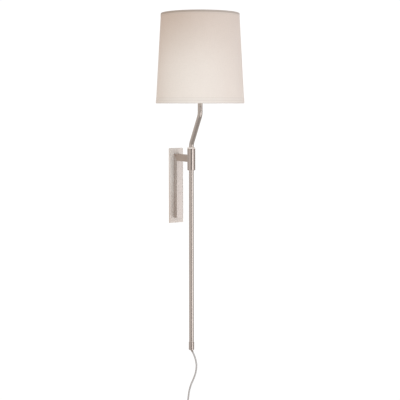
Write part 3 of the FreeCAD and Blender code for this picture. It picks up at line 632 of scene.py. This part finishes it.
def linen(name, color, pitch, slub=1.0, lines=()):
    """Woven cloth round the stem: crossed threads, thick and thin, with a soft sheen.

    lines are (height, half width, tone) of darker lines round the shade: painted shade at the edges and
    painted shadow along the tape's fold and edges, where the tape is also glued down.
    """
    finish = Finish(name, Roughness=0.92, Sheen_Weight=0.25, Sheen_Roughness=0.5, Specular_IOR_Level=0.25)
    across, height = around_stem(finish, finish.where(), WEAVE_RADIUS)
    flat = finish.node("CombineXYZ", [("X", across), ("Y", height)])
    wander = finish.math("MULTIPLY", finish.noise(flat, 35.0, detail=2.0), 1.6 * MM)
    turns = 2 * math.pi / pitch
    warp = finish.math("SINE", finish.math("MULTIPLY", finish.math("ADD", across, wander), turns))
    weft = finish.math("SINE", finish.math("MULTIPLY", finish.math("ADD", height, wander), turns))
    over = finish.math("MULTIPLY", warp, weft)
    weft_slubs = finish.noise(finish.stretched(flat, 55.0, 1300.0, 1.0), 1.0, detail=3.0, roughness=0.6)
    warp_slubs = finish.noise(finish.stretched(flat, 1300.0, 45.0, 1.0), 1.0, detail=3.0, roughness=0.6)
    thick = finish.math("MAXIMUM", weft_slubs, warp_slubs)
    dye = finish.noise(flat, 9.0, detail=3.0)
    base = finish.blend(dye, tone(color, 0.975), tone(color, 1.02))
    threads = finish.blend(finish.ranged(thick, 0.0, 0.5 * slub, start=0.5, end=0.8), base, tone(color, 0.84))
    gaps = finish.blend(finish.ranged(over, 0.0, 0.16, start=0.35, end=1.0), threads, tone(color, 0.70))
    # Darker lines of painted shade and painted shadow, blended over the cloth
    for level, half_width, darker in lines:
        away = finish.math("ABSOLUTE", finish.math("SUBTRACT", height, level))
        near = finish.ranged(away, 1.0, 0.0, start=half_width * 0.4, end=half_width)
        gaps = finish.blend(near, gaps, tone(color, darker))
    relief = finish.bump(over, 0.00012, strength=0.5)
    relief = finish.bump(thick, 0.00035, strength=0.6 * slub, under=relief)
    return finish.use(Base_Color=gaps, Normal=relief)


def laminate():
    """Matt white lining that the linen is glued to."""
    finish = Finish("white_laminate", Roughness=0.55, Subsurface_Weight=0.1, Subsurface_Scale=0.002)
    place = finish.where()
    cloud = finish.noise(place, 14.0, detail=3.0)
    shade = finish.blend(cloud, (0.93, 0.92, 0.90), (0.96, 0.95, 0.935))
    orange = finish.bump(finish.noise(place, 700.0, detail=3.0), 0.00008, strength=0.5)
    return finish.use(Base_Color=shade, Normal=orange)


def soft_jacket():
    """Silver-grey cord jacket, slightly see-through over its twisted strands."""
    finish = Finish("silver_jacket", Coat_Weight=0.35, Coat_Roughness=0.25)
    place = finish.where()
    strand_pitch = 4.2 * MM
    axes = finish.split(place)
    lean = finish.math("ADD", axes["Z"], finish.math("MULTIPLY", axes["X"], 0.8))
    twist = finish.math("SINE", finish.math("MULTIPLY", lean, 2 * math.pi / strand_pitch))
    scuff = finish.noise(place, 180.0, detail=4.0, roughness=0.6)
    strand = finish.ranged(twist, 0.0, 1.0, start=-1.0, end=1.0)
    shade = finish.blend(strand, (0.485, 0.535, 0.585), (0.59, 0.645, 0.695))
    shade = finish.blend(finish.ranged(scuff, 0.0, 0.4, start=0.5, end=0.8), shade, (0.53, 0.57, 0.61))
    relief = finish.bump(twist, 0.00015, strength=0.35)
    return finish.use(Base_Color=shade, Roughness=finish.ranged(scuff, 0.32, 0.5), Normal=relief)


def paint(node, material):
    """Gives a CAD node a finish."""
    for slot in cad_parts[node].material_slots:
        slot.material = material


# How often the brush lines repeat along X, Y and Z, per metre
UPRIGHT_GRAIN = (1100.0, 1100.0, 5.0)
LEVEL_GRAIN = (1100.0, 5.0, 1100.0)
TURNED_GRAIN = (120.0, 120.0, 2600.0)
LOWER_BEND_Z = 0.1445
UPPER_BEND_Z = 0.2430

pole_nickel = brushed_metal(
    "pole_nickel",
    NICKEL,
    0.24,
    UPRIGHT_GRAIN,
    slope=(LOWER_BEND_Z, UPPER_BEND_Z, STEM_AXIS.y - POLE_AXIS.y),
)
# Copies of the same nickel: the plate's and the post's are painted lighter, as painted light, and the
# sleeve's and the arm's darker, as painted shade
sleeve_nickel_painted_shade = brushed_metal("sleeve_nickel_painted_shade", (0.59, 0.525, 0.49), 0.19, UPRIGHT_GRAIN)
plate_nickel_painted_light = brushed_metal("plate_nickel_painted_light", (0.88, 0.875, 0.87), 0.55, UPRIGHT_GRAIN, metallic=0.2)
post_nickel_painted_light = brushed_metal("post_nickel_painted_light", (0.645, 0.595, 0.570), 0.36, UPRIGHT_GRAIN, metallic=0.92)
arm_nickel_painted_shade = brushed_metal("arm_nickel_painted_shade", (0.56, 0.475, 0.420), 0.38, LEVEL_GRAIN)
turned_nickel = brushed_metal("turned_nickel", NICKEL, 0.22, TURNED_GRAIN)
zinc = plated_steel()
brass = turned_brass()
nylon = moulded("natural_nylon", (0.93, 0.905, 0.89), 0.30)
black_plastic = moulded("black_phenolic", (0.018, 0.018, 0.020), 0.24, speckle=2200.0, coat=0.3)
grey_plastic = moulded("grey_moulding", (0.34, 0.335, 0.33), 0.40)
black_nylon = moulded("black_nylon", (0.022, 0.022, 0.024), 0.45, speckle=1200.0)
white_coat = powder_coat()
jacket = soft_jacket()
linen_cloth = linen("shade_linen", (0.866, 0.847, 0.834), pitch=0.95 * MM)
# Painted shade at the lower edge, painted shadow at the fold of the hem and at the edges of the lower and
# upper tape, which are also glue lines, and a band of painted shade below the upper edge
TAPE_PAINTED_SHADE_LINES = [
    (SHADE_LOW.z, 2.2 * MM, 0.74),
    (SHADE_LOW.z + HEM_FOLD_HEIGHT, 1.0 * MM, 0.84),
    (SHADE_LOW.z + TAPE_HEIGHT_LOW, 1.1 * MM, 0.81),
    (SHADE_HIGH.z - TAPE_HEIGHT_HIGH, 0.9 * MM, 0.82),
    (SHADE_HIGH.z - 2.6 * MM, 5.0 * MM, 0.68),
]
linen_tape = linen("shade_tape", (0.856, 0.847, 0.839), pitch=0.7 * MM, slub=0.5, lines=TAPE_PAINTED_SHADE_LINES)

NODE_FINISHES = {
    plate_nickel_painted_light: ["wall_plate"],
    post_nickel_painted_light: ["bracket_post", "post_cap"],
    arm_nickel_painted_shade: ["bracket_arm"],
    sleeve_nickel_painted_shade: ["sleeve", "end_cap", "socket_shell"],
    turned_nickel: ["seat_washer", "socket_cap"],
    pole_nickel: ["pole"],
    zinc: [
        "wall_strap",
        "cover_screws",
        "bracket_screws",
        "post_nuts",
        "friction_screw",
        "nipple",
        "lock_nut",
    ],
    brass: [
        "pole_insert",
        "terminal_screws",
        "screw_shell",
        "centre_contact",
        "switch_shaft",
        "bulb_contact",
        "plug_blades",
    ],
    nylon: ["upper_bushing", "lower_bushing", "friction_pad"],
    black_plastic: ["socket_body", "socket_collar", "shade_lock_ring", "switch_knob"],
    grey_plastic: ["cord_bushing"],
    black_nylon: ["coil_tie"],
    white_coat: ["shade_ring_bottom", "shade_ring_top", "shade_fitter"],
    jacket: ["inner_lead"],
    waxed_fibre(): ["socket_liner"],
    frosted_glass(): ["bulb_glass"],
    thin_aluminium(): ["bulb_base"],
    laminate(): ["shade_liner"],
}
for material, nodes in NODE_FINISHES.items():
    for node in nodes:
        paint(node, material)
cord.data.materials.append(jacket)
plug.data.materials.append(grey_plastic)
linen_sheet.data.materials.append(linen_cloth)
tape_low.data.materials.append(linen_tape)
tape_high.data.materials.append(linen_tape)


# Light and stage

# White behind the lamp, the surround that lights matt pieces, and the surround that shows in metal
BACKDROP = (1.05, 1.05, 1.05)
FILL_ON_MATT_LEFT = (0.524, 0.381, 0.285)
FILL_ON_MATT_RIGHT = (0.696, 0.614, 0.570)
FILL_IN_METAL_FRONT = (0.30, 0.285, 0.275)
FILL_IN_METAL_BACK = (0.72, 0.685, 0.65)
FLOOR_DROP = 0.35
FLOOR_RADIUS = 1.4
# Spots on the shade, at its lowest place and at its highest
WASH_COLOR = (0.775, 0.95, 1.0)
WASH_HEIGHT = 0.24
RAISED_WASH_HEIGHT = 1.02
WASH_DISTANCE = 1.5
WASH_HALF_ANGLE = math.radians(12.6)
WASH_SOFT_EDGE = 0.45
WASH_LAMP_RADIUS = 0.12
WASH_AZIMUTHS_AND_POWERS = ((-74.0, 22.0), (-6.0, 13.0), (150.0, 22.0))


def make_world():
    """White background, with a dimmer warm surround that lights the lamp and shows in its metal."""
    world = bpy.data.worlds.new("studio")
    world.use_nodes = True
    bpy.context.scene.world = world
    nodes, links = world.node_tree.nodes, world.node_tree.links
    nodes.clear()

    def background(color):
        made = nodes.new("ShaderNodeBackground")
        if isinstance(color, bpy.types.NodeSocket):
            links.new(color, made.inputs["Color"])
        else:
            made.inputs["Color"].default_value = (*color, 1.0)
        return made.outputs[0]

    def mixed(factor, first, second):
        made = nodes.new("ShaderNodeMixShader")
        for socket, value in zip(made.inputs, (factor, first, second)):
            links.new(value, socket)
        return made.outputs[0]

    axes = nodes.new("ShaderNodeSeparateXYZ")
    links.new(nodes.new("ShaderNodeTexCoord").outputs["Generated"], axes.inputs[0])

    def surround(axis, low, high):
        """Background that changes evenly from one side to the other."""
        place = nodes.new("ShaderNodeMapRange")
        place.inputs["From Min"].default_value = -1.0
        links.new(axes.outputs[axis], place.inputs["Value"])
        made = nodes.new("ShaderNodeMix")
        made.data_type = "RGBA"
        links.new(place.outputs[0], made.inputs["Factor"])
        # Sockets 6 and 7 are the Mix node's two colours.
        made.inputs[6].default_value = (*low, 1.0)
        made.inputs[7].default_value = (*high, 1.0)
        return background(made.outputs[2])

    rays = nodes.new("ShaderNodeLightPath").outputs
    on_matt = surround("X", FILL_ON_MATT_LEFT, FILL_ON_MATT_RIGHT)
    in_metal = surround("Y", FILL_IN_METAL_FRONT, FILL_IN_METAL_BACK)
    lit = mixed(rays["Is Glossy Ray"], on_matt, in_metal)
    seen = mixed(rays["Is Camera Ray"], lit, background(BACKDROP))
    links.new(seen, nodes.new("ShaderNodeOutputWorld").inputs["Surface"])


def softbox(name, azimuth, distance, height, width, tall, power, color, aim_z):
    """Area light; azimuth is counted from straight in front of the wall, positive to the right."""
    data = bpy.data.lights.new(name, "AREA")
    data.shape = "RECTANGLE"
    data.size = width
    data.size_y = tall
    data.energy = power
    data.color = color
    light = bpy.data.objects.new(name, data)
    angle = math.radians(azimuth)
    target = Vector((POLE_AXIS.x, POLE_AXIS.y, aim_z))
    light.location = target + Vector((math.sin(angle), -math.cos(angle), 0)) * distance
    light.location.z = height
    light.rotation_euler = (target - light.location).to_track_quat("-Z", "Y").to_euler()
    bpy.context.scene.collection.objects.link(light)


def make_floor():
    """Pale round floor below the lamp."""
    data = bpy.data.meshes.new("floor")
    shape = bmesh.new()
    bmesh.ops.create_circle(shape, cap_ends=True, segments=96, radius=FLOOR_RADIUS)
    shape.to_mesh(data)
    shape.free()
    floor = bpy.data.objects.new("floor", data)
    floor.location = (POLE_AXIS.x, POLE_AXIS.y, CAD_LOW.z - FLOOR_DROP)
    floor.visible_glossy = False
    bpy.context.scene.collection.objects.link(floor)
    finish = Finish("floor_white", Roughness=0.9, Emission_Color=(1.0, 1.0, 1.0), Emission_Strength=0.35)
    cloud = finish.noise(finish.where(), 3.0)
    color = finish.blend(cloud, (0.80, 0.79, 0.78), (0.84, 0.83, 0.82))
    floor.data.materials.append(finish.use(Base_Color=color))


def shade_wash(azimuth, power, height):
    """Soft spot aimed below the shade's middle, so that its light fades out towards the shade's top."""
    data = bpy.data.lights.new("wash", "SPOT")
    data.energy = power
    data.color = WASH_COLOR
    data.shadow_soft_size = WASH_LAMP_RADIUS
    data.spot_size = 2 * WASH_HALF_ANGLE
    data.spot_blend = WASH_SOFT_EDGE
    light = bpy.data.objects.new("wash", data)
    angle = math.radians(azimuth)
    target = Vector((STEM_AXIS.x, STEM_AXIS.y, height))
    light.location = target + Vector((math.sin(angle), -math.cos(angle), 0)) * WASH_DISTANCE
    light.rotation_euler = (target - light.location).to_track_quat("-Z", "Y").to_euler()
    light.visible_glossy = False
    bpy.context.scene.collection.objects.link(light)


make_world()
make_floor()
softbox(
    "key",
    azimuth=17.0,
    distance=1.9,
    height=-0.45,
    width=1.3,
    tall=1.5,
    power=9.3,
    color=(1.0, 0.985, 0.98),
    aim_z=-0.30,
)
softbox(
    "fill",
    azimuth=-69.0,
    distance=2.2,
    height=-0.20,
    width=2.0,
    tall=2.0,
    power=4.3,
    color=(1.0, 0.93, 0.88),
    aim_z=-0.1,
)
for wash_height in (WASH_HEIGHT, RAISED_WASH_HEIGHT):
    for wash_azimuth, wash_power in WASH_AZIMUTHS_AND_POWERS:
        shade_wash(wash_azimuth, wash_power, wash_height)
bpy.context.scene.view_settings.view_transform = "Standard"
